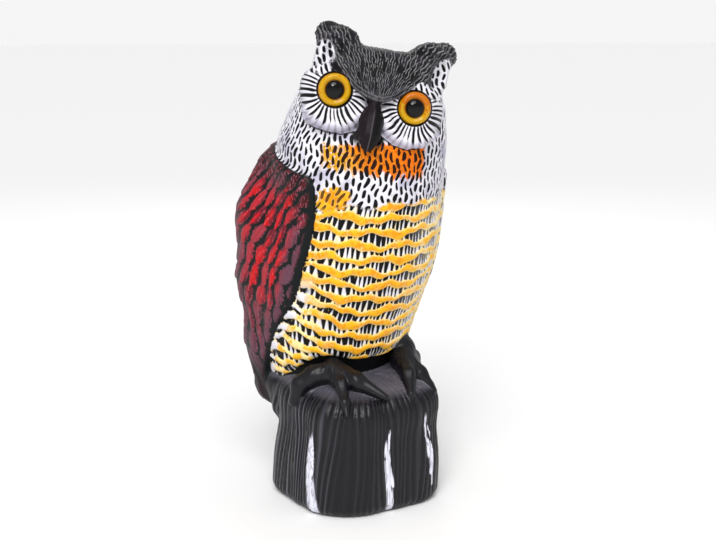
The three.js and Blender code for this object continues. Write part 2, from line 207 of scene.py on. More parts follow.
# Orange bib, and the yellow smudge over the feather bands: places round the breast and heights
BIB_RIGHT = -76
BIB_LEFT = 20
BIB_FOOT = 299
BIB_TOP = 329
SMUDGE_AT = (-62, 280)
SMUDGE_HALF = (15, 11)

# White brush strokes on the stump: lowest and highest point, place round it at foot and head, half width
BRUSH_STROKES = ((-2, 69, -73, -82.5, 6.3), (22, 73, -76, -79, 1.9), (-2, 66, -5, -10, 4.2),
                 (20, 75, -4, -8.5, 2.3), (12, 62, 43, 36.5, 2.4), (22, 84, 38.5, 32.5, 2.2),
                 (28, 74, 43, 37, 1.3))

# Camera, as the photograph was taken
CAMERA_AZIMUTH = -32.0
CAMERA_AWAY = 1150.0
CAMERA_HIGH = 420.0
CAMERA_PITCH = 10.5
FOCAL_PIXELS = 1284.0
FRAME_PIXELS = 716.0

# Lights and floor, in metres: place, width and power of each lamp
LIGHT_AIM = (0, 0, 0.22)
WINDOW = ((-1.3, -1.5, 1.5), 0.6, 13)
RIM = ((0.9, 1.5, 1.3), 0.9, 4)
SUN_WAY = (0.55, 0.75, -1.0)
SUN_POWER = 1.95
SUN_WIDE = 38
SKY_LOW = 0.92
SKY_HIGH = 0.5
FLOOR_HALF = 40.0


class Wire:
    """A number inside a material: arithmetic on wires adds the material's own math nodes."""

    def __init__(self, tree, socket):
        self.tree = tree
        self.socket = socket

    def __add__(self, other):
        return wired("ADD", self, other)
    __radd__ = __add__

    def __sub__(self, other):
        return wired("SUBTRACT", self, other)

    def __rsub__(self, other):
        return wired("SUBTRACT", other, self)

    def __mul__(self, other):
        return wired("MULTIPLY", self, other)
    __rmul__ = __mul__

    def __truediv__(self, other):
        return wired("DIVIDE", self, other)

    def __neg__(self):
        return wired("MULTIPLY", self, -1.0)


def fill(node, inputs):
    """Sets a node's inputs: a wire or a socket is linked, a number is written on the input itself."""
    for key, value in inputs.items():
        if isinstance(value, Wire):
            value = value.socket
        if isinstance(value, bpy.types.NodeSocket):
            node.id_data.links.new(value, node.inputs[key])
        else:
            node.inputs[key].default_value = value


def new_node(tree, kind, inputs, **settings):
    node = tree.nodes.new("ShaderNode" + kind)
    for name, value in settings.items():
        setattr(node, name, value)
    fill(node, inputs)
    return node


def wired(operation, *terms):
    """The result of one math node."""
    tree = next(term.tree for term in terms if isinstance(term, Wire))
    return Wire(tree, new_node(tree, "Math", dict(enumerate(terms)), operation=operation).outputs[0])


def both(operation, plain):
    """One function for arrays and for wires."""
    def call(*terms):
        if any(isinstance(term, Wire) for term in terms):
            return wired(operation, *terms)
        return plain(*terms)
    return call


sine = both("SINE", np.sin)
floor = both("FLOOR", np.floor)
fraction = both("FRACT", lambda x: x - np.floor(x))
size = both("ABSOLUTE", np.abs)
most = both("MAXIMUM", np.maximum)
root = both("SQRT", np.sqrt)
bearing = both("ARCTAN2", np.arctan2)


def rise(low, high, x):
    """0 at low, 1 at high, smooth between; low may be the greater."""
    if not isinstance(x, Wire):
        t = np.clip((x - low) / (high - low), 0, 1)
        return t * t * (3 - 2 * t)
    ends = {"Value": x, "From Min": low, "From Max": high}
    return Wire(x.tree, new_node(x.tree, "MapRange", ends, interpolation_type="SMOOTHSTEP").outputs[0])


def chance(i, j):
    """A fixed number between 0 and 1 for each pair of whole numbers."""
    return fraction(sine(i * 12.99 + j * 78.23 + 0.5) * 43.76)


def blend(a, b, k):
    """The nearer of two surfaces, run smoothly together over about k."""
    h = np.clip(0.5 + 0.5 * (b - a) / k, 0, 1)
    return b * (1 - h) + a * h - k * h * (1 - h)


def trim(a, b, k):
    """What two bodies have in common, with the edge rounded over about k."""
    return -blend(-a, -b, k)


def curve(at, keys):
    """Smooth line through the keys, flat beyond both ends."""
    places = np.array([key[0] for key in keys], float)
    values = np.array([key[1] for key in keys], float)
    slopes = np.zeros(len(keys))
    slopes[1:-1] = (values[2:] - values[:-2]) / (places[2:] - places[:-2])
    at = np.clip(at, places[0], places[-1])
    i = np.clip(np.searchsorted(places, at, side="right") - 1, 0, len(keys) - 2)
    wide = places[i + 1] - places[i]
    u = (at - places[i]) / wide
    start = values[i] * (1 + 2 * u) * (1 - u) ** 2 + slopes[i] * wide * u * (1 - u) ** 2
    return start + values[i + 1] * u * u * (3 - 2 * u) + slopes[i + 1] * wide * u * u * (u - 1)


def egg(p, at, radii):
    """Distance to a ball with its own radius along each axis, close to its surface."""
    radii = np.array(radii, float)
    q = (p - np.array(at, float)) / radii
    out = np.linalg.norm(q, axis=-1) + 1e-9
    return out * (out - 1) / (np.linalg.norm(q / radii, axis=-1) + 1e-9)


def limb(p, start, end):
    """Distance to a round limb between two balls, each a centre and a radius."""
    a, b = np.array(start[0], float), np.array(end[0], float)
    way = b - a
    h = np.clip(((p - a) @ way) / (way @ way), 0, 1)
    return np.linalg.norm(p - a - h[..., None] * way, axis=-1) - (start[1] + (end[1] - start[1]) * h)


def chain(p, balls, k):
    """Distance to limbs joined from ball to ball."""
    d = limb(p, balls[0], balls[1])
    for start, end in zip(balls[1:], balls[2:]):
        d = blend(d, limb(p, start, end), k)
    return d


def mirrored(p):
    q = p.copy()
    q[..., 0] = np.abs(q[..., 0])
    return q


def head_axes():
    turn, tilt = math.radians(HEAD_TURN), math.radians(HEAD_TILT)
    forward = np.array([-math.sin(turn), -math.cos(turn), 0.0])
    side = np.array([math.cos(turn), -math.sin(turn), 0.0])
    up = np.array([0.0, 0.0, 1.0])
    return (side * math.cos(tilt) - up * math.sin(tilt), up * math.cos(tilt) + side * math.sin(tilt), forward)


HEAD_AXES = head_axes()


def to_head(p):
    q = p - np.array(HEAD_AT)
    return np.stack([q @ axis for axis in HEAD_AXES], axis=-1)


def from_head(a, b, c):
    return np.array(HEAD_AT) + a * HEAD_AXES[0] + b * HEAD_AXES[1] + c * HEAD_AXES[2]


def from_face(a, b, c):
    return from_head(a, b - FACE_DROP - FACE_TILT * a, c)


def on_stump(x, y, z):
    """Place across the stump from its leaning axis."""
    return x - STUMP_AT[0] - STUMP_LEAN[0] * z, y - STUMP_AT[1] - STUMP_LEAN[1] * z


def stump_field(p):
    z = p[..., 2]
    x, y = on_stump(p[..., 0], p[..., 1], z)
    waist = STUMP_WAIST * np.exp(-((z - STUMP_WAIST_Z) / STUMP_WAIST_TALL) ** 2)
    inner = STUMP_HALF - waist - STUMP_ROUND
    qx, qy = np.abs(x) - inner, np.abs(y) - inner
    outside = np.hypot(np.maximum(qx, 0), np.maximum(qy, 0))
    d = outside + np.minimum(np.maximum(qx, qy), 0) - STUMP_ROUND
    side, under = d + STUMP_FOOT, FLOOR_Z - z + STUMP_FOOT
    edge = np.hypot(np.maximum(side, 0), np.maximum(under, 0))
    d = edge + np.minimum(np.maximum(side, under), 0) - STUMP_FOOT
    top = STUMP_TOP + STUMP_TOP_RISE * (y - STUMP_TOP_FRONT) + STUMP_TOP_LEAN * x
    return blend(trim(d, z - top, STUMP_DOME), chain(mirrored(p), STUMP_FLARE, 6), 5)


def foot_field(p, knuckle, toes):
    d = None
    for toe in toes:
        e = chain(p, (knuckle,) + toe, 4)
        d = e if d is None else blend(d, e, 2)
    return d


def feet_field(p):
    return np.minimum(foot_field(p, RIGHT_KNUCKLE, RIGHT_TOES), foot_field(p, LEFT_KNUCKLE, LEFT_TOES))


def breast_field(p, inset=0.0):
    z = p[..., 2]
    r = np.hypot(p[..., 0] / BREAST_BROAD, p[..., 1] - curve(z, BREAST_MID))
    d = (r - curve(z, BREAST_RADIUS) + inset) * 0.95
    return trim(trim(d, z - BREAST_TOP, 30), BREAST_FOOT - z, 20)


def hem_height(p):
    """Height of the breast's lower border, by how far forward a point faces."""
    y = p[..., 1] - HEM_BACK
    return curve(-y / (np.hypot(p[..., 0], y) + 1e-6), HEM)


def torso_field(p):
    outer = trim(breast_field(p), (hem_height(p) - p[..., 2]) * 0.75, 5)
    return blend(breast_field(p, HEM_INSET), outer, 2)


def shoulder_line(p):
    return SHOULDER + SHOULDER_RISE * (p[..., 1] - SHOULDER_FRONT)


def wing_field(p):
    y, z = p[..., 1], p[..., 2]
    d = blend(chain(mirrored(p), WING, 20), breast_field(p, -WING_THICK), 10)
    d = trim(d, (curve(z, WING_EDGE) - y) * 0.8, 4)
    return trim(d, (z - shoulder_line(p)) * 0.9, 6)


def back_field(p):
    nape = np.linalg.norm(p - np.array(NAPE[0], float), axis=-1) - NAPE[1]
    return np.minimum(chain(p, BACK, 25), nape)


def ear_field(h):
    g = h.copy()
    g[..., 0] = np.abs(h[..., 0] - EAR_SHIFT)
    g[..., 1] = h[..., 1] + EAR_DROP - EAR_TILT * h[..., 0]
    hood = chain(g, EAR_HOOD, 5)
    return trim(blend(chain(g, EAR, 3), hood, 4), -egg(g, *EAR_HOLLOW), 3)


def brow_line(a):
    """How high the lower edge of the brow runs, across the head."""
    return BROW_BEND * a * a + BROW_LOW


def brow_slant(a):
    """Length of the brow's lower edge for each step across."""
    climb = 2 * BROW_BEND * a
    return root(1 + climb * climb)


def crown_field(h):
    a, b, c = h[..., 0], h[..., 1], h[..., 2]
    face = (c - (CROWN_FRONT - 0.8 * (b - BROW_LOW) - 0.002 * a * a)) * 0.78
    brow = (brow_line(a) - b) / brow_slant(a)
    d = trim(face, brow, 3)
    d = trim(d, b - CROWN_TOP - 0.06 * a - 0.002 * a * a, 10)
    d = trim(d, np.abs(a - EAR_SHIFT) - CROWN_HALF, 8)
    d = trim(d, b * 0.85 - c * 0.5 - CROWN_SLANT, 8)
    return trim(d, -(c + CROWN_BACK), 12)


def disc_field(h):
    g = mirrored(to_face(h))
    lip = chain(g, DISC_LIP, 4)
    out = np.maximum(g[..., 0] - DISC[0][0], 0)
    g[..., 2] = g[..., 2] + DISC_SWEEP * out * out
    g[..., 1] = np.where(g[..., 1] > 0, g[..., 1] * DISC_FLAT, g[..., 1])
    d = blend(trim(egg(g, *DISC), -egg(g, *EYE_BED), 3), lip, 7)
    a = h[..., 0]
    return trim(d, (h[..., 1] - brow_line(a) - 1) / brow_slant(a), 3)


def face_height(a, b):
    """Height in the face, whose eyes and beak hang a little lower and more aslant than the brow."""
    return b + FACE_DROP + FACE_TILT * a


def to_face(h):
    g = h.copy()
    g[..., 1] = face_height(h[..., 0], h[..., 1])
    return g


def head_pieces(h):
    skull = blend(egg(h, *SKULL), egg(h, *FACE), 8)
    return SimpleNamespace(skull=skull, ear=ear_field(h), crown=crown_field(h), disc=disc_field(h),
                           beak=chain(to_face(h), BEAK, 6))


def head_field(p):
    h = to_head(p)
    piece = head_pieces(h)
    soft = blend(blend(piece.skull, piece.ear, 8), piece.crown, 5)
    return soft, piece.disc, piece.beak, eye_pocket(h)


def eye_pocket(h):
    """Distance to the two round beds that the eyes are set in."""
    g = mirrored(to_face(h))
    r = np.hypot(g[..., 0] - EYE_AT[0], g[..., 1] - EYE_AT[1])
    return np.maximum(r - EYE_R - EYE_GAP, EYE_AT[2] - EYE_BASE - EYE_GAP - g[..., 2])


def where(p, inside, field):
    """A field worked out only at the points that can feel it."""
    d = np.full(len(p), 1000.0)
    if inside.any():
        d[inside] = field(p[inside])
    return d


def figure(p):
    """Signed distance to the whole smooth figure."""
    z = p[..., 2]
    d = where(p, z > TRUNK_FROM, lambda q: blend(torso_field(q), back_field(q), 25))
    d = blend(d, where(p, (z > TRUNK_FROM) & (z < WING_TO), wing_field), 3)
    high = z > HEAD_FROM
    head = np.full((4, len(p)), 1000.0)
    if high.any():
        head[:, high] = head_field(p[high])
    soft, disc, beak, pocket = head
    d = blend(blend(blend(d, soft, 22), disc, 2), beak, 1.5)
    d = np.maximum(d, -pocket)
    d = blend(d, where(p, z < STUMP_TO, stump_field), 6)
    d = blend(d, where(p, (z > FEET_FROM) & (z < FEET_TO), feet_field), 2)
    return np.maximum(d, FLOOR_Z - z)


def band_lines(around):
    """Height of the middle of each feather band, from the top one down."""
    flank = np.clip((np.abs(around) - FLANK_FROM) / FLANK_WIDE, 0, 1.5)
    for row in range(ROW_COUNT):
        turn = 2.4 * row
        wave = ROW_WAVE * np.sin(around * (0.12 + 0.05 * chance(row, 3)) + turn)
        ripple = ROW_RIPPLE * np.sin(around * 0.36 + 2.3 * turn)
        sag = ROW_SAG * np.minimum(((around + 2) / 45) ** 2, 1.8)
        lift = FLANK_LIFT * min(max(row - 4, 0) / 4, 1) * flank
        yield ROW_TOP - ROW_PITCH * row + wave + ripple + sag + lift


def feather_rows(around, z):
    """Place in the rows, 1 more at each band down, and distance outside the nearest band."""
    row = np.zeros_like(z)
    outside = np.full_like(z, 100.0)
    above = None
    for number, line in enumerate(band_lines(around)):
        half = BAND_HALF * (1 + 0.4 * np.sin(around * 0.13 + 4.1 * number) * np.sin(around * 0.05 + number))
        outside = np.minimum(outside, np.abs(z - line) - half)
        if above is None:
            row = (line - z) / ROW_PITCH
        else:
            below = z < above
            row = np.where(below, number - 1 + (above - z) / np.maximum(above - line, 0.5), row)
        above = line
    return row, outside


def nearest(*distances):
    return np.minimum.reduce(distances)


def facts(p):
    """What relief and paint need at each point: which part it is on, and its place in that part's pattern."""
    x, y, z = p[..., 0], p[..., 1], p[..., 2]
    f = SimpleNamespace(x=x, y=y, z=z)
    h = to_head(p)
    f.a, f.b, f.c = np.moveaxis(h, -1, 0)
    f.around = AROUND_R * np.arctan2(x, -(y - curve(z, BREAST_MID)))
    f.row, f.band = feather_rows(f.around, z)
    sweep = WING_R * np.arctan2(np.abs(x), -(y - WING_MID))
    drop = z - SCALE_Z
    f.across = SCALE_LEAN[0] * sweep + SCALE_LEAN[1] * drop + SCALE_BEND * drop * drop
    f.along = SCALE_LEAN[1] * sweep - SCALE_LEAN[0] * drop
    f.edge = np.minimum((y - curve(z, WING_EDGE)) * 0.8, (shoulder_line(p) - z) * 0.9)
    torso, stump, feet = torso_field(p), stump_field(p), feet_field(p)
    wing = np.minimum(wing_field(p), back_field(p))
    f.wing = np.minimum(torso - wing, (shoulder_line(p) - z) * 0.9)
    piece = head_pieces(h)
    dark = np.minimum(piece.crown, piece.ear)
    plain = np.minimum(piece.skull, torso)
    disc, beak = piece.disc, piece.beak
    low = np.where(z < HEAD_FROM, -50.0, 0.0)
    f.disc = nearest(plain, dark, beak) - disc + low
    f.crown = nearest(plain, disc, beak) - dark + low
    f.beak = nearest(plain, dark, disc, np.full_like(z, BEAK_RIM)) - beak + low
    f.bill = beak
    bird = np.minimum(torso, wing)
    f.bird = np.where(z < STUMP_MARKS_TO, np.minimum(stump, feet) - bird, 50.0)
    f.foot = np.where(z < STUMP_MARKS_TO, stump - feet, -50.0)
    f.hem = z - hem_height(p)
    f.brow = f.b - brow_line(f.a)
    return f


def net(across, down, wide, tall):
    """1 in the dark dashes of a net of pale ridges; the dashes stand in staggered columns."""
    across = across + 1.1 * sine(down * 0.19 + across * 0.06) + 0.8 * sine(across * 0.15 - down * 0.37)
    column = floor(across / wide)
    cell = down / tall + fraction(column * 0.5) + 0.35 * chance(column, 7)
    luck = chance(column, floor(cell))
    other = chance(floor(cell), column + 31)
    y = (fraction(cell) - 0.5) * tall
    x = (fraction(across / wide) - 0.5) * wide + (other - 0.5) * 1.3 + (luck - 0.5) * 0.3 * y
    half_wide = wide * (0.22 + 0.13 * luck)
    half_tall = tall * (0.34 + 0.16 * other)
    x, y = x / half_wide, y / half_tall
    return rise(1.35, 0.65, x * x + y * y * size(y) * (1.2 - 0.4 * luck))


def neck_dashes(f):
    """1 in the neck's dashes, which lean more and more towards the owl's right side."""
    lean = f.around - 0.004 * most(-f.around - 10, 0.0) * (f.z - 310)
    return net(lean, -f.z, DASH_WIDE, DASH_TALL)


def teeth(f):
    """1 in the dark notches that hang under each feather band."""
    gap = floor(f.row)
    depth = fraction(f.row)
    slant = (chance(gap, 9) - 0.5) * 0.8
    spread = most(-20 - f.around, 0.0)
    slot = f.around / TOOTH_PITCH + 0.0006 * spread * spread + 7 * chance(gap, 3) + slant * depth
    slot = slot + 0.25 * sine(f.around * 0.22 + gap)
    luck = chance(floor(slot), gap)
    half = 0.50 - 0.35 * depth + 0.28 * (luck - 0.5)
    return rise(half + 0.07, half - 0.07, size(fraction(slot) - 0.5))


def scales(f):
    """A wing feather's dome, 0 in the dark gaps to 1 in its middle, and the place on it."""
    across = f.across + 1.5 * sine(f.along * 0.11) + 1.2 * sine(f.across * 0.17 + f.along * 0.05)
    column = floor(across / SCALE_WIDE)
    cell = f.along / SCALE_LONG + fraction(column * 0.5) + 0.4 * chance(column, 5)
    luck = chance(column, floor(cell))
    y = fraction(cell) * 2 - 1
    x = (fraction(across / SCALE_WIDE) - 0.5) * 2
    wide = 1.04 - 0.6 * (y + 0.15) * (y + 0.15)
    dome = 1 - size(x) / most(wide, 0.1)
    return SimpleNamespace(dome=dome, x=x, y=y, luck=luck)


def barbs(s):
    """Rough streaks that leave a feather's middle line and run to its tip."""
    bend = sine(s.y * 3 + 7 * s.luck)
    return sine(s.x * 8.5 + bend * 1.4 - size(s.x) * s.y * 2.5 + 5 * s.luck)


def rays(f):
    """The rays round an eye, its dark rim, the dotted corner and the painted shade under the brow: 1 inside
    each.
    """
    side = size(f.a) - EYE_AT[0]
    up = face_height(f.a, f.b)
    r = root(side * side + up * up)
    turn = bearing(up, side)
    slot = turn * (EYE_RAYS / 6.2832) + 0.2 * sine(r * 0.22 + turn * 3) + 0.15 * sine(turn * 7)
    luck = chance(floor(slot), 2)
    place = size(fraction(slot) - 0.5) * r * 0.19
    end = 28 + 5.5 * luck + 9 * rise(-22, -4, up) * rise(0, 12, side)
    half = 1.05 * rise(end, end - 5, r) * (0.7 + 0.5 * luck) * rise(12, 19, r)
    ray = rise(half + 0.25, half - 0.25, place) * rise(0.06, 0.25, half)
    rim = rise(15.9, 15.1, r)
    dotted = most(rise(9, 14, up + 0.1 * side), rise(33, 37, r) * rise(-17, -6, up))
    # Painted shade under the brow, above each eye and reaching further out over the right one
    brow_shadow = mixed(7.0, -3.0, rise(-10, 10, f.a)) - side
    brow_shadow = rise(-2, 2, brow_shadow + 0.35 * (up - 18)) * rise(13, 16, up)
    return SimpleNamespace(ray=ray, rim=rim, r=r, turn=turn, dotted=dotted, brow_shadow=brow_shadow)


def dots(f):
    """1 in the short dashes of the pale patches beside the eyes."""
    return net(f.a + 0.35 * f.b, f.b, 5.0, 7.2)


def veins(f):
    """1 on the pale wriggling lines that run up and out from the point of the brow."""
    up = f.b - VEINS_FROM
    r = root(f.a * f.a + up * up)
    slot = bearing(f.a, up) * VEINS + 0.35 * sine(r * 0.11)
    lane = floor(slot)
    luck = chance(lane, 6)
    off = fraction(slot) - 0.5 + 0.2 * sine(r * (0.45 + 0.3 * luck) + 6.28 * luck)
    off = off + 0.1 * sine(r * 1.1 + lane)
    stretch = chance(lane, floor(r / (5 + 5 * luck) + 9 * luck))
    return rise(0.25, 0.08, size(off)) * rise(0.15, 0.3, stretch)


def rim_lines(f):
    """1 on the pale lines that follow the lower edge of the brow and the border of the ears."""
    edge = f.brow / brow_slant(f.a)
    line = sine(edge * 2.1 + 0.9 * sine(f.a * 0.21))
    return rise(0.3, 0.95, line) * rise(7.5, 4, edge)


def grooves(f):
    """The stump's ribs round its side, 0 in a groove to 1 on a rib."""
    x, y = on_stump(f.x, f.y, f.z)
    turn = bearing(x, -y)
    wander = 0.6 * sine(turn * 5 + f.z * 0.02) + 0.3 * sine(turn * 13 - f.z * 0.03)
    slot = turn * (GROOVES / 6.28318) + wander
    luck = chance(floor(slot), 4)
    rib = root(most(1 - size(fraction(slot) * 2 - 1), 0.0))
    fine = sine(turn * 2 * GROOVES + 2 * wander)
    broad = sine(turn * 11 + 1.3 * sine(turn * 5 + 0.02 * f.z))
    return SimpleNamespace(rib=rib, luck=luck, fine=fine, turn=turn, broad=broad)


def patch(f):
    """1 on the pale dotted patch in front of each ear."""
    side = (size(f.a - EAR_SHIFT) - PATCH_AT[0]) / PATCH_HALF[0]
    up = (f.b - PATCH_AT[1] - 5 * rise(-10, 10, f.a)) / PATCH_HALF[1]
    return rise(1.15, 0.85, side * side + up * up) * rise(0, 6, f.c)


def shares(f):
    """How much of each part's finish a point has."""
    return SimpleNamespace(
        rows=rise(ROW_TOP + 3, ROW_TOP - 1, f.z + 2.5 * sine(f.around * 0.16) - 0.05 * f.around),
        legs=rise(0.5, -0.8, f.hem),
        wing=rise(-0.3, 0.5, f.wing),
        disc=rise(-0.4, 0.3, f.disc),
        patch=rise(-0.5, 0.3, f.crown) * patch(f),
        crown=rise(-0.5, 0.3, f.crown) * (1 - patch(f)),
        beak=rise(-0.3, 0.2, f.beak),
        stump=rise(0.3, -0.5, f.bird),
        foot=rise(-0.5, 0.8, f.foot),
    )


def mixed(low, high, share):
    return low + (high - low) * share


def relief(f):
    """Height of the fine modelling over the smooth figure."""
    s = shares(f)
    neck = -1.0 * neck_dashes(f)
    depth = fraction(f.row)
    band = rise(0.8, -1.6, f.band)
    feathers = 1.1 * band - 0.9 * (1 - band) * (teeth(f) + 0.4 * (1 - depth))
    height = mixed(neck, feathers, s.rows)
    height = mixed(height, 0.0, s.legs)
    scale = scales(f)
    tongue = rise(-0.1, 0.75, scale.dome)
    feather = 1.7 * tongue * (0.65 + 0.35 * scale.y) + 0.22 * barbs(scale) * tongue - 0.5
    height = mixed(height, feather * rise(0, 9, f.edge), s.wing)
    fan = rays(f)
    scallop = 0.7 * rise(20, 30, fan.r) * size(sine(fan.turn * DISC_FLUTES * 0.5))
    feather_fan = scallop - 0.85 * fan.ray
    height = mixed(height, mixed(feather_fan, -0.8 * dots(f), fan.dotted), s.disc)
    ridge = 0.55 * veins(f) + 0.5 * rim_lines(f)
    height = mixed(height, -0.8 * dots(f), s.patch)
    height = mixed(height, ridge, s.crown)
    height = mixed(height, 0.25 * sine(f.a * 2.6) + 0.7 * rise(1.2, 0, size(f.a)), s.beak)
    rib = grooves(f)
    bark = GROOVE_DEPTH * (0.45 + 0.75 * rib.luck) * (rib.rib - 0.8)
    bark = bark + 0.12 * rib.fine + 0.5 * rib.broad
    bark = bark * rise(FLOOR_Z + 0.5, FLOOR_Z + 4, f.z)
    side, ahead = size(f.x) - TOES_MEET[0], TOES_MEET[1] - f.y
    toe = 0.3 * sine(22 * bearing(side, ahead)) * rise(4, 12, size(side) + size(ahead))
    return mixed(height, mixed(bark, toe, s.foot), s.stump)


CUBE_CORNERS = np.array([[i, j, k] for i in (0, 1) for j in (0, 1) for k in (0, 1)])
HALF_DIAGONAL = 0.87
FIELD_SLACK = 1.35


def narrow_cells(pitch):
    """Small cubes along the figure's surface, found by halving larger ones."""
    low = np.array(FIELD_LOW)
    span = np.array(FIELD_HIGH) - low
    cell = pitch * 8
    counts = np.ceil(span / cell).astype(int)
    found = np.argwhere(np.ones(counts))
    while True:
        near = np.abs(figure(low + (found + 0.5) * cell)) < cell * HALF_DIAGONAL * FIELD_SLACK
        found = found[near]
        if cell < pitch * 1.5:
            return found, low, cell
        found = (found[:, None, :] * 2 + CUBE_CORNERS).reshape(-1, 3)
        cell = cell / 2


def surface(pitch):
    """Points and four-sided faces of the smooth figure: one point in each cube that the surface crosses."""
    cells, low, cell = narrow_cells(pitch)
    many = int(cells.max()) + 3

    def key(index):
        return (index[..., 0] * many + index[..., 1]) * many + index[..., 2]

    grid, turn = np.unique(key(cells[:, None, :] + CUBE_CORNERS).ravel(), return_inverse=True)
    place = np.stack([grid // (many * many), grid // many % many, grid % many], axis=-1)
    value = figure(low + place * cell)[turn].reshape(-1, 8)
    crossed = (value.min(axis=1) < 0) & (value.max(axis=1) >= 0)
    cells, value = cells[crossed], value[crossed]
    total, weight = np.zeros((len(cells), 3)), np.zeros(len(cells))
    for i in range(8):
        for axis, step in ((0, 4), (1, 2), (2, 1)):
            if i & step:
                continue
            first, second = value[:, i], value[:, i + step]
            cut = (first < 0) != (second < 0)
            share = np.where(cut, first / np.where(cut, first - second, 1), 0)
            point = CUBE_CORNERS[i] + share[:, None] * np.eye(3)[axis]
            total += point * cut[:, None]
            weight += cut
    points = low + (cells + total / weight[:, None]) * cell
    order = np.argsort(key(cells))
    keys = key(cells)[order]

    def number(index):
        wanted = key(index)
        spot = np.clip(np.searchsorted(keys, wanted), 0, len(keys) - 1)
        return np.where(keys[spot] == wanted, order[spot], -1)

    faces = []
    for axis, step in ((0, 4), (1, 2), (2, 1)):
        first, second = value[:, 0], value[:, step]
        cut = (first < 0) != (second < 0)
        one, two = np.eye(3, dtype=int)[(axis + 1) % 3], np.eye(3, dtype=int)[(axis + 2) % 3]
        base = cells[cut]
        ring = [number(base), number(base - one), number(base - one - two), number(base - two)]
        ring = np.stack(ring, axis=-1)
        outward = first[cut] < 0
        ring[~outward] = ring[~outward][:, ::-1]
        faces.append(ring[(ring >= 0).all(axis=1)])
    return points, np.concatenate(faces)


def slope(p):
    """Direction in which the distance grows fastest, and the distance itself."""
    ways = np.array([[1, -1, -1], [-1, -1, 1], [-1, 1, -1], [1, 1, 1]], float)
    reach = 0.35
    sums = np.zeros_like(p)
    total = np.zeros(len(p))
    for way in ways:
        d = figure(p + way * reach)
        sums += d[:, None] * way
        total += d
    steep = sums / (4 * reach)
    return steep, total / 4


def fine_figure():
    """The figure as one fine mesh in the figure's own frame."""
    points, faces = surface(PITCH)
    steep, d = slope(points)
    length = np.linalg.norm(steep, axis=1, keepdims=True) + 1e-9
    points = points - steep / length * np.clip(d[:, None] / length, -0.6, 0.6)
    height = relief(facts(points))
    points = points + steep / length * height[:, None]
    points[:, 2] = np.maximum(points[:, 2], FLOOR_Z)
    return points, faces


def mesh_from(name, points, faces):
    """A mesh whose faces all have the same number of sides."""
    mesh = bpy.data.meshes.new(name)
    mesh.vertices.add(len(points))
    mesh.vertices.foreach_set("co", points.astype(np.float32).ravel())
    sides = faces.shape[1]
    mesh.loops.add(len(faces) * sides)
    mesh.loops.foreach_set("vertex_index", faces.astype(np.int32).ravel())
    mesh.polygons.add(len(faces))
    mesh.polygons.foreach_set("loop_start", np.arange(len(faces), dtype=np.int32) * sides)
    mesh.update(calc_edges=True)
    mesh.validate()
    return mesh


def placed(name, mesh):
    thing = bpy.data.objects.new(name, mesh)
    bpy.context.scene.collection.objects.link(thing)
    return thing


def finished(thing):
    """Applies a piece's modifiers to its mesh."""
    bpy.context.view_layer.update()
    ready = bpy.data.meshes.new_from_object(thing.evaluated_get(bpy.context.evaluated_depsgraph_get()))
    thing.modifiers.clear()
    thing.data = ready


def mesh_points(mesh):
    flat = np.zeros(len(mesh.vertices) * 3, np.float32)
    mesh.vertices.foreach_get("co", flat)
    return flat.reshape(-1, 3).astype(float)


FACT_SETS = {
    "pattern": ("around", "row", "band"),
    "plumage": ("across", "along", "edge"),
    "body_part": ("bird", "wing", "hem"),
    "head_part": ("disc", "crown", "beak"),
    "other_part": ("foot", "bill", "brow"),
}


def keep_facts(mesh, f):
    """Writes on the mesh's points what the paint can't work out for itself."""
    for name, keys in FACT_SETS.items():
        values = np.stack([vars(f)[key] for key in keys], axis=-1)
        attribute = mesh.attributes.new(name, "FLOAT_VECTOR", "POINT")
        attribute.data.foreach_set("vector", values.astype(np.float32).ravel())


def frame_home():
    """How far the figure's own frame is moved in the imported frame, found on the left eye."""
    points = mesh_points(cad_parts["left_eye"].data) / MM
    want = from_face(*EYE_AT)
    home = np.zeros(3)
    for axis in HEAD_AXES[:2]:
        along = points @ axis
        home += axis * ((along.min() + along.max()) / 2 - want @ axis)
    depth = (points @ HEAD_AXES[2]).min() + EYE_BASE
    return home + HEAD_AXES[2] * (depth - want @ HEAD_AXES[2])


HOME = frame_home()


def owl_piece():
    """The whole moulding, thinned out to its number of triangles."""
    points, faces = fine_figure()
    owl = placed("owl", mesh_from("owl", points, faces))
    cut = owl.modifiers.new("fewer", "DECIMATE")
    cut.ratio = TRIANGLES / (2 * len(faces))
    finished(owl)
    keep_facts(owl.data, facts(mesh_points(owl.data)))
    owl.data.transform(Matrix.Diagonal((MM, MM, MM, 1)) @ Matrix.Translation(Vector(HOME)))
    owl.data.shade_smooth()
    return owl


def srgb(red, green, blue):
    linear = [v / 12.92 if v < 0.04045 else ((v + 0.055) / 1.055) ** 2.4 for v in (red, green, blue)]
    return tuple(linear) + (1.0,)


def new_material(name):
    material = bpy.data.materials.new(name)
    material.use_nodes = True
    return material, material.node_tree.nodes["Principled BSDF"]


def layer(under, over, share):
    """One colour painted over another."""
    return new_node(share.tree, "Mix", {0: share, 6: under, 7: over}, data_type="RGBA").outputs[2]


def layers(colour, *coats):
    """Coats of paint one after another, each a colour and its share."""
    for over, share in coats:
        colour = layer(colour, over, share)
    return colour


def grain(f, scale, detail=2.0, stretch=(1, 1, 1)):
    """Soft random grey, from 0 to 1, over the surface."""
    tree = f.place.tree
    spread = new_node(tree, "Mapping", {"Vector": f.place, "Scale": stretch})
    noise = {"Vector": spread.outputs[0], "Scale": scale, "Detail": detail}
    return Wire(tree, new_node(tree, "TexNoise", noise).outputs[0])


def parts_of(tree, vector):
    return [Wire(tree, output) for output in new_node(tree, "SeparateXYZ", {0: vector}).outputs]


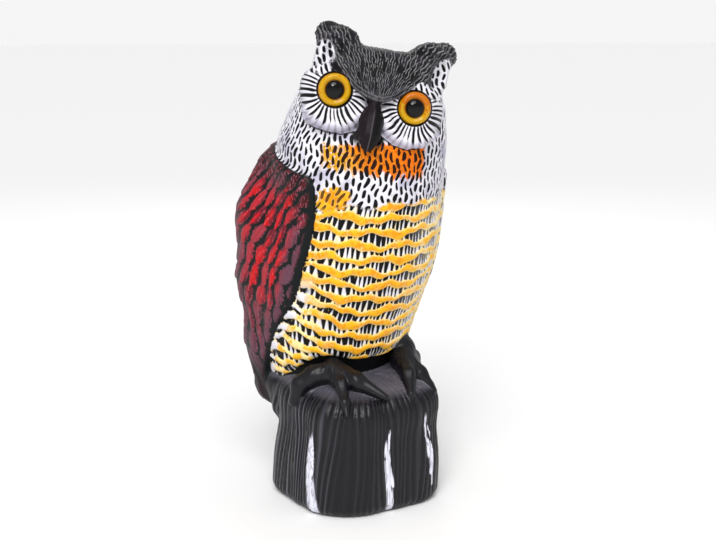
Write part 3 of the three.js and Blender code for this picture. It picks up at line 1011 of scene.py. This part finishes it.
def wired_places(tree):
    """A point's place in the figure's own frame, and its steps along the head's axes."""
    packed = new_node(tree, "TexCoord", {}).outputs["Object"]
    moved = {0: packed, 1: (1 / MM,) * 3, 2: tuple(-HOME)}
    place = Wire(tree, new_node(tree, "VectorMath", moved, operation="MULTIPLY_ADD").outputs[0])
    f = SimpleNamespace(place=place)
    for key, axis in zip("abc", HEAD_AXES):
        node = new_node(tree, "VectorMath", {0: place, 1: tuple(axis)}, operation="DOT_PRODUCT")
        vars(f)[key] = Wire(tree, node.outputs["Value"]) - float(np.array(HEAD_AT) @ axis)
    return f


def wired_facts(tree):
    """The same facts as for arrays of points, read from the mesh by the material."""
    f = wired_places(tree)
    f.x, f.y, f.z = parts_of(tree, f.place)
    for name, keys in FACT_SETS.items():
        node = new_node(tree, "Attribute", {}, attribute_name=name)
        vars(f).update(zip(keys, parts_of(tree, node.outputs["Vector"])))
    return f


WHITE = srgb(0.88, 0.87, 0.90)
LILAC = srgb(0.70, 0.68, 0.76)
INK = srgb(0.045, 0.05, 0.055)
ORANGE = srgb(0.90, 0.48, 0.04)
YELLOW = srgb(0.95, 0.70, 0.12)
GOLD = srgb(0.92, 0.59, 0.05)
CREAM = srgb(0.96, 0.87, 0.60)
AMBER = srgb(0.86, 0.62, 0.12)
OLIVE = srgb(0.52, 0.40, 0.14)
FLAME = srgb(0.90, 0.42, 0.03)
UMBER = srgb(0.16, 0.07, 0.03)
RED = srgb(0.76, 0.08, 0.11)
WINE = srgb(0.42, 0.09, 0.15)
ROSE = srgb(0.80, 0.42, 0.46)
MAUVE = srgb(0.55, 0.42, 0.47)
PLUM = srgb(0.36, 0.25, 0.31)
GAP = srgb(0.07, 0.09, 0.09)
SLATE = srgb(0.15, 0.145, 0.17)
ASH = srgb(0.50, 0.49, 0.50)
HORN = srgb(0.10, 0.065, 0.09)
BLACK = srgb(0.050, 0.038, 0.064)
BRUSHED = srgb(0.86, 0.86, 0.91)
# Near black of the painted shade in the stump's grooves
GROOVE_SHADE_BLACK = srgb(0.02, 0.015, 0.03)
# Pale grey of the painted sheen on the stump's top and the painted highlights on its rib crests
SHEEN_GREY = srgb(0.36, 0.35, 0.39)
TALON = srgb(0.065, 0.065, 0.085)
IRIS_YELLOW = srgb(0.76, 0.58, 0.03)
IRIS_ORANGE = srgb(0.74, 0.40, 0.03)
IRIS_RECESS_SHADE = srgb(0.38, 0.20, 0.03)
IRIS_OUTER = srgb(0.45, 0.26, 0.02)
PUPIL_BLACK = srgb(0.01, 0.01, 0.012)
FLOOR_PALE = (0.95, 0.95, 0.95, 1)


def neck_paint(f, soft, fine, streak):
    """Dark dashes between pale ridges, orange to amber inside the bib."""
    ridge = layers(WHITE, (LILAC, rise(0.45, 0.75, soft)), (ASH, rise(0.62, 0.8, fine) * 0.6))
    wave = 2.2 * sine(f.around * 0.9) + 1.6 * sine(f.around * 0.37) + 9 * (fine - 0.5)
    top = rise(BIB_TOP, BIB_TOP - 3, f.z + wave * 0.4)
    bottom = rise(-2, 2, f.z + wave + 0.12 * f.around - BIB_FOOT)
    right = rise(BIB_RIGHT, BIB_RIGHT + 3, f.around + wave * 0.4)
    left = rise(BIB_LEFT, BIB_LEFT - 3, f.around + wave * 0.3)
    inside = top * bottom * right * left
    far = f.around + 0.5 * (f.z - 312) + 14 * (fine - 0.5)
    bright = layers(
        AMBER,
        (ORANGE, rise(-58, -34, far)),
        (FLAME, rise(-30, 0, f.around) * rise(0.42, 0.6, fine)),
        (OLIVE, rise(0.52, 0.68, streak) * rise(0, -50, far)),
    )
    ridge = layer(ridge, bright, inside * mixed(1.0, rise(0.6, 0.52, fine), 0.8 * rise(-40, -60, far)))
    dark = layer(INK, UMBER, inside)
    grown = rise(0.3, 0.75, neck_dashes(f) + 0.45 * inside * rise(0.42, 0.62, streak))
    return layer(ridge, dark, grown)


def breast_paint(f, daub, streak):
    """Yellow bands over black teeth on white, paler to the owl's left and white-tipped beside the wings."""
    left = rise(5, 48, f.around)
    white = layer(WHITE, CREAM, rise(0.5, 0.7, daub) * 0.8)
    frayed = f.band + 3.4 * (streak - 0.5) + 3.4 * (daub - 0.5) + left
    under = layer(white, CREAM, rise(1.2, 0.4, frayed))
    dark = teeth(f) * rise(-0.3, 0.3, f.band + 1.5 * (streak - 0.5)) * mixed(1.0, 0.75, left)
    under = layer(under, INK, dark)
    pale = most(left * 0.8, rise(40, 74, -f.around) * rise(215, 175, f.z))
    tip = rise(-11, -6, f.wing + 6 * (daub - 0.5)) * rise(215, 190, f.z)
    warm = layers(
        YELLOW,
        (GOLD, rise(0.4, 0.58, daub)),
        (CREAM, pale * rise(0.42, 0.56, daub)),
        (CREAM, rise(-1.6, -0.4, frayed) * 0.55),
        (WHITE, tip),
    )
    under = layer(under, INK, tip * rise(0.9, 1.7, f.band))
    return layer(under, warm, rise(0.3, -0.4, frayed))


def wing_paint(f, fine, streak, daub):
    """Red feathers in the wing's middle, wine and plum round it, near black at the shoulder and the tail."""
    s = scales(f)
    strand = 0.5 + 0.5 * barbs(s)
    bright = s.dome + 0.4 * s.y + 0.9 * (s.luck - 0.5) + (fine - 0.5) + 1.5 * (daub - 0.5)
    bright = rise(0.1, 0.8, bright)
    middle = rise(160, 205, f.z) * rise(300, 278, f.z + 16 * (daub - 0.5))
    middle = middle * rise(4, 16, f.edge) * rise(66, 42, f.y + 20 * (daub - 0.5))
    crack = rise(0.4, 0.1, strand + 1.6 * (fine - 0.5)) * rise(0.8, 0.4, s.dome + 0.15 * middle)
    border = rise(20, 4, f.edge + 12 * (fine - 0.5)) * rise(275, 225, f.z)
    shoulder = rise(26, 8, f.edge + 10 * (daub - 0.5)) * rise(258, 280, f.z)
    body = layers(
        WINE,
        (RED, bright * mixed(0.22, 1.0, middle)),
        (ROSE, rise(0.6, 1.0, strand) * rise(0.48, 0.62, streak) * 0.4),
        (MAUVE, rise(0.52, 0.64, streak) * (1 - middle) * 0.6),
        (GAP, crack * 0.9),
        (PLUM, most(border * 0.75, rise(170, 110, f.z) * 0.8)),
        (PLUM, most(rise(0.6, 0.95, s.luck) * 0.5, rise(48, 68, f.y) * 0.5)),
        (GAP, shoulder * rise(0.6, 0.45, streak) * 0.9),
        (INK, rise(132, 98, f.z) * 0.85),
    )
    strip = mixed(0.8, 0.0, most(rise(262, 285, f.z), rise(215, 190, f.z))) + 3 * (streak - 0.5)
    strip = strip + LEFT_BORDER * rise(0, 6, f.x) * rise(290, 280, f.z)
    shown = rise(0.05, 0.25, s.dome + 1.1 * (fine - 0.5)) * rise(strip, strip + 2, f.edge)
    return layer(GAP, body, shown)


def disc_paint(f, soft):
    """White disc with black rays, painted shade on its fluted border, a dotted corner and painted shade under
    the brow.
    """
    fan = rays(f)
    # Grey streaks of painted shade in and beside the grooves between the border's flutes
    flute_shade = rise(24, 30, fan.r) * rise(0.2, 0.9, sine(fan.turn * DISC_FLUTES + 1.0))
    return layers(
        WHITE,
        # lilac painted shade towards the disc's rolled rim
        (LILAC, rise(25, 33, fan.r + 8 * (soft - 0.5)) * 0.8),
        (ASH, flute_shade * 0.55),
        (INK, fan.ray),
        (patch_paint(f), fan.dotted),
        # painted shade under the brow
        (BLACK, fan.brow_shadow),
        (INK, fan.rim),
    )


def patch_paint(f):
    return layer(WHITE, INK, dots(f))


def crown_paint(f, soft, fine):
    lines = most(veins(f) * rise(0.3, 0.6, fine), rim_lines(f) * 0.4)
    dark = layer(SLATE, INK, rise(0.35, 0.58, soft + 0.8 * (fine - 0.5)))
    return layer(dark, ASH, lines * 0.95)


def beak_paint(f):
    # Pale line down the beak's ridge: a painted highlight; the owl's left half of the beak is near black
    ridge = rise(0.8, 0.2, size(f.a - 0.4)) * rise(-6, -14, f.b)
    horn = layer(HORN, INK, rise(1.0, 3.0, f.a))
    return layer(horn, ASH, ridge * 0.25)


def stroke(f, turn, low, high, foot, head, wide):
    """One brushed white stroke up the stump, from its foot to its head: 1 in its middle."""
    height = (f.z - low) / (high - low)
    line = foot + (head - foot) * height + 1.2 * sine(height * 5 + foot)
    off = (turn * STUMP_HALF - line) / (wide * (1.15 - 0.6 * height))
    return (1 - size(off)) * rise(-0.02, 0.05, height) * rise(1.02, 0.85, height)


def stump_paint(f):
    """Black bark, painted highlights on its ribs and top, painted shade in its grooves, white brush strokes,
    black feet.
    """
    rib = grooves(f)
    bristle = grain(f, 1.6, 3.0, (1, 1, 0.035))
    paint = 0.0
    for ends in BRUSH_STROKES:
        paint = most(paint, stroke(f, rib.turn, *ends))
    cover = rise(0.0, 0.4, paint - 4.5 * most(bristle - 0.5, 0.0))
    # Painted sheen on the stump's flat top, streaked along its grain
    top_grain = sine(f.x * 1.3 + f.y * 1.9 + 2 * sine(f.x * 0.12))
    top_sheen = rise(98, 106, f.z) * rise(0.5, -0.5, f.foot) * (0.85 + 0.15 * top_grain)
    # Painted highlight on the rib crests on the owl's right, the side towards the light
    crest_highlight = rise(0.72, 0.98, rib.rib) * rise(0.1, 0.9, rib.luck) * rise(106, 80, f.z)
    return layers(
        BLACK,
        # painted highlight on the rib tops
        (SLATE, rise(0.75, 1.0, rib.rib) * rise(0.0, 0.7, rib.luck) * 0.8),
        # painted shade in the grooves
        (GROOVE_SHADE_BLACK, rise(0.5, 0.2, rib.rib)),
        # painted sheen on the top, then painted highlights on the rib crests
        (SHEEN_GREY, top_sheen),
        (SHEEN_GREY, crest_highlight * rise(-0.7, -1.2, rib.turn) * 0.75),
        (BRUSHED, cover),
        (TALON, rise(-0.5, 0.8, f.foot)),
    )


def smudge(f, daub):
    """1 on the yellow smudge over the feather bands, between the neck's dashes."""
    side = (f.around - SMUDGE_AT[0]) / SMUDGE_HALF[0]
    up = (f.z - SMUDGE_AT[1]) / SMUDGE_HALF[1]
    inside = rise(1.1, 0.9, side * side + up * up + 3.2 * (daub - 0.5))
    return inside * (1 - 0.85 * rise(268, 274, f.z) * neck_dashes(f))


def left_front(f):
    """1 on the front of the left wing, which is painted like the breast and neck beside it."""
    front = rise(LEFT_BORDER, LEFT_BORDER - 2, f.edge) * rise(286, 280, f.z)
    front = most(front, rise(-20, -23, f.y) * rise(278, 284, f.z))
    return front * rise(0, 6, f.x)


def body_colour(f, s, soft, fine, streak):
    """Every part's paint, laid over the parts before it."""
    daub = grain(f, 0.13)
    wing_shade = rise(-1.8, -1.0, f.wing + 3.5 * (streak - 0.5) - rise(205, 175, f.z))
    wing_shade = wing_shade * rise(306, 298, f.z) * rise(6, 0, f.x)
    # Painted shadow under the lower rim of each face disc
    disc_shadow = rise(-2.0, -1.0, f.disc) * rise(-10, -17, f.b) * rise(56, 46, size(f.a))
    return layers(
        neck_paint(f, soft, fine, streak),
        (breast_paint(f, daub, streak), s.rows),
        (layer(YELLOW, GOLD, rise(0.4, 0.6, daub)), smudge(f, daub)),
        (INK, s.legs),
        (INK, wing_shade),
        (wing_paint(f, fine, streak, daub), s.wing * (1 - left_front(f))),
        # painted shade in the hollows beside the beak
        (INK, rise(8.0, 5.0, f.bill) * rise(-44, -36, f.b)),
        (INK, disc_shadow * 0.9),
        (disc_paint(f, soft), s.disc),
        (patch_paint(f), s.patch),
        (crown_paint(f, soft, fine), s.crown),
        (beak_paint(f), s.beak),
        (stump_paint(f), s.stump),
    )


def painted_body():
    """Paint over moulded plastic: satin on the bird, a little glossier on the stump and feet."""
    material, shader = new_material("painted_body")
    f = wired_facts(material.node_tree)
    s = shares(f)
    soft = grain(f, 0.045)
    fine = grain(f, 0.35)
    streak = grain(f, 0.75, 2.0, (1, 1, 0.3))
    skin = {"Strength": 0.35, "Distance": 0.0004, "Height": grain(f, 1.6, 4.0)}
    fill(shader, {
        "Base Color": body_colour(f, s, soft, fine, streak),
        "Roughness": mixed(0.46, 0.34, s.stump) + 0.14 * (fine - 0.5),
        "Specular IOR Level": mixed(0.13, 0.30, s.stump),
        "Normal": new_node(material.node_tree, "Bump", skin).outputs[0],
    })
    return material


def eye_profile():
    dome = [(PUPIL_R * math.sin(t), PUPIL_SEAT + (PUPIL_HIGH - PUPIL_SEAT) * math.cos(t))
            for t in np.linspace(0, math.pi / 2, 14)]
    ring = np.linspace(PUPIL_R + 0.15, EYE_R, 22)
    iris = list(zip(ring, curve(ring, IRIS_HEIGHTS)))
    return dome + iris + [(EYE_R, 0.0), (EYE_R, -EYE_BASE), (0.0, -EYE_BASE)]


def eye_piece(name, side):
    """One set-in eye, turned from its profile."""
    profile = eye_profile()
    middle = from_face(side * EYE_AT[0], EYE_AT[1], EYE_AT[2])
    points, faces = [], []
    for r, height in profile:
        for j in range(EYE_SIDES):
            turn = 2 * math.pi * j / EYE_SIDES
            spread = r * (math.cos(turn) * HEAD_AXES[0] + math.sin(turn) * HEAD_AXES[1])
            points.append(middle + spread + height * HEAD_AXES[2])
    for i in range(len(profile) - 1):
        for j in range(EYE_SIDES):
            k = (j + 1) % EYE_SIDES
            near, far = i * EYE_SIDES, (i + 1) * EYE_SIDES
            faces.append([near + j, far + j, far + k, near + k])
    eye = placed(name, mesh_from(name, (np.array(points) + HOME) * MM, np.array(faces)))
    join = eye.modifiers.new("join", "WELD")
    join.merge_threshold = 1e-6
    finished(eye)
    eye.data.shade_smooth()
    return eye


def eye_gloss(name, side):
    """Amber ring with painted shade at its inner edge, and black dome under clear gloss."""
    material, shader = new_material(name)
    f = wired_places(material.node_tree)
    x = f.a - side * EYE_AT[0]
    y = f.b + FACE_DROP + FACE_TILT * side * EYE_AT[0] - EYE_AT[1]
    r = root(x * x + y * y)
    mottle = grain(f, 0.5, 3.0)
    warmth = rise(0.5, 0.75, mottle + 0.012 * y * (1 + side) + 0.06 * (1 + side))
    colour = layers(
        IRIS_YELLOW,
        (IRIS_ORANGE, warmth),
        # painted shade in the hollow between the iris and the pupil
        (IRIS_RECESS_SHADE, rise(9.0, 7.9, r)),
        (IRIS_OUTER, rise(13.0, 14.3, r)),
        (PUPIL_BLACK, rise(PUPIL_R + 0.12, PUPIL_R - 0.05, r)),
    )
    fill(shader, {"Base Color": colour, "Roughness": 0.04, "Specular IOR Level": 0.27})
    return material


def build_owl():
    owl = owl_piece()
    owl.data.materials.append(painted_body())
    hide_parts("owl_body")
    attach(owl, "root")
    for name, side in (("left", 1), ("right", -1)):
        eye = eye_piece(name + "_glass_eye", side)
        eye.data.materials.append(eye_gloss(name + "_eye_gloss", side))
        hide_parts(name + "_eye")
        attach(eye, "root")


def build_floor():
    corners = [(x * FLOOR_HALF, y * FLOOR_HALF, 0) for x, y in ((-1, -1), (1, -1), (1, 1), (-1, 1))]
    mesh = bpy.data.meshes.new("floor")
    mesh.from_pydata(corners, [], [(0, 1, 2, 3)])
    floor_piece = placed("floor", mesh)
    material, shader = new_material("pale_floor")
    fill(shader, {"Base Color": FLOOR_PALE, "Roughness": 0.85})
    floor_piece.data.materials.append(material)


def aim(thing, way):
    thing.rotation_euler = Vector(way).to_track_quat("-Z", "Y").to_euler()


def add_light(name, place, wide, power):
    light = bpy.data.lights.new(name, "AREA")
    light.shape = "DISK"
    light.size = wide
    light.energy = power
    lamp = placed(name, light)
    lamp.location = place
    aim(lamp, Vector(LIGHT_AIM) - Vector(place))


def build_lights():
    add_light("window", *WINDOW)
    add_light("rim", *RIM)
    sun = bpy.data.lights.new("key", "SUN")
    sun.energy = SUN_POWER
    sun.angle = math.radians(SUN_WIDE)
    aim(placed("key", sun), SUN_WAY)
    world = bpy.data.worlds.new("studio")
    bpy.context.scene.world = world
    world.use_nodes = True
    tree = world.node_tree
    sky = tree.nodes["Background"]
    up = parts_of(tree, new_node(tree, "TexCoord", {}).outputs["Generated"])[2]
    fill(sky, {"Strength": mixed(SKY_LOW, SKY_HIGH, rise(0.05, 0.25, up)), "Color": (1, 1, 1, 1)})


def build_camera():
    turn, pitch = math.radians(CAMERA_AZIMUTH), math.radians(CAMERA_PITCH)
    place = np.array([math.sin(turn) * CAMERA_AWAY, -math.cos(turn) * CAMERA_AWAY, CAMERA_HIGH])
    data = bpy.data.cameras.new("camera")
    data.sensor_width = 36.0
    data.lens = data.sensor_width * FOCAL_PIXELS / FRAME_PIXELS
    data.clip_start, data.clip_end = 0.05, 50
    camera = placed("camera", data)
    camera.location = Vector((place + HOME) * MM)
    flat = math.cos(pitch)
    aim(camera, (-math.sin(turn) * flat, math.cos(turn) * flat, -math.sin(pitch)))
    bpy.context.scene.camera = camera


build_owl()
build_floor()
build_lights()
build_camera()
bpy.context.scene.view_settings.view_transform = "Standard"
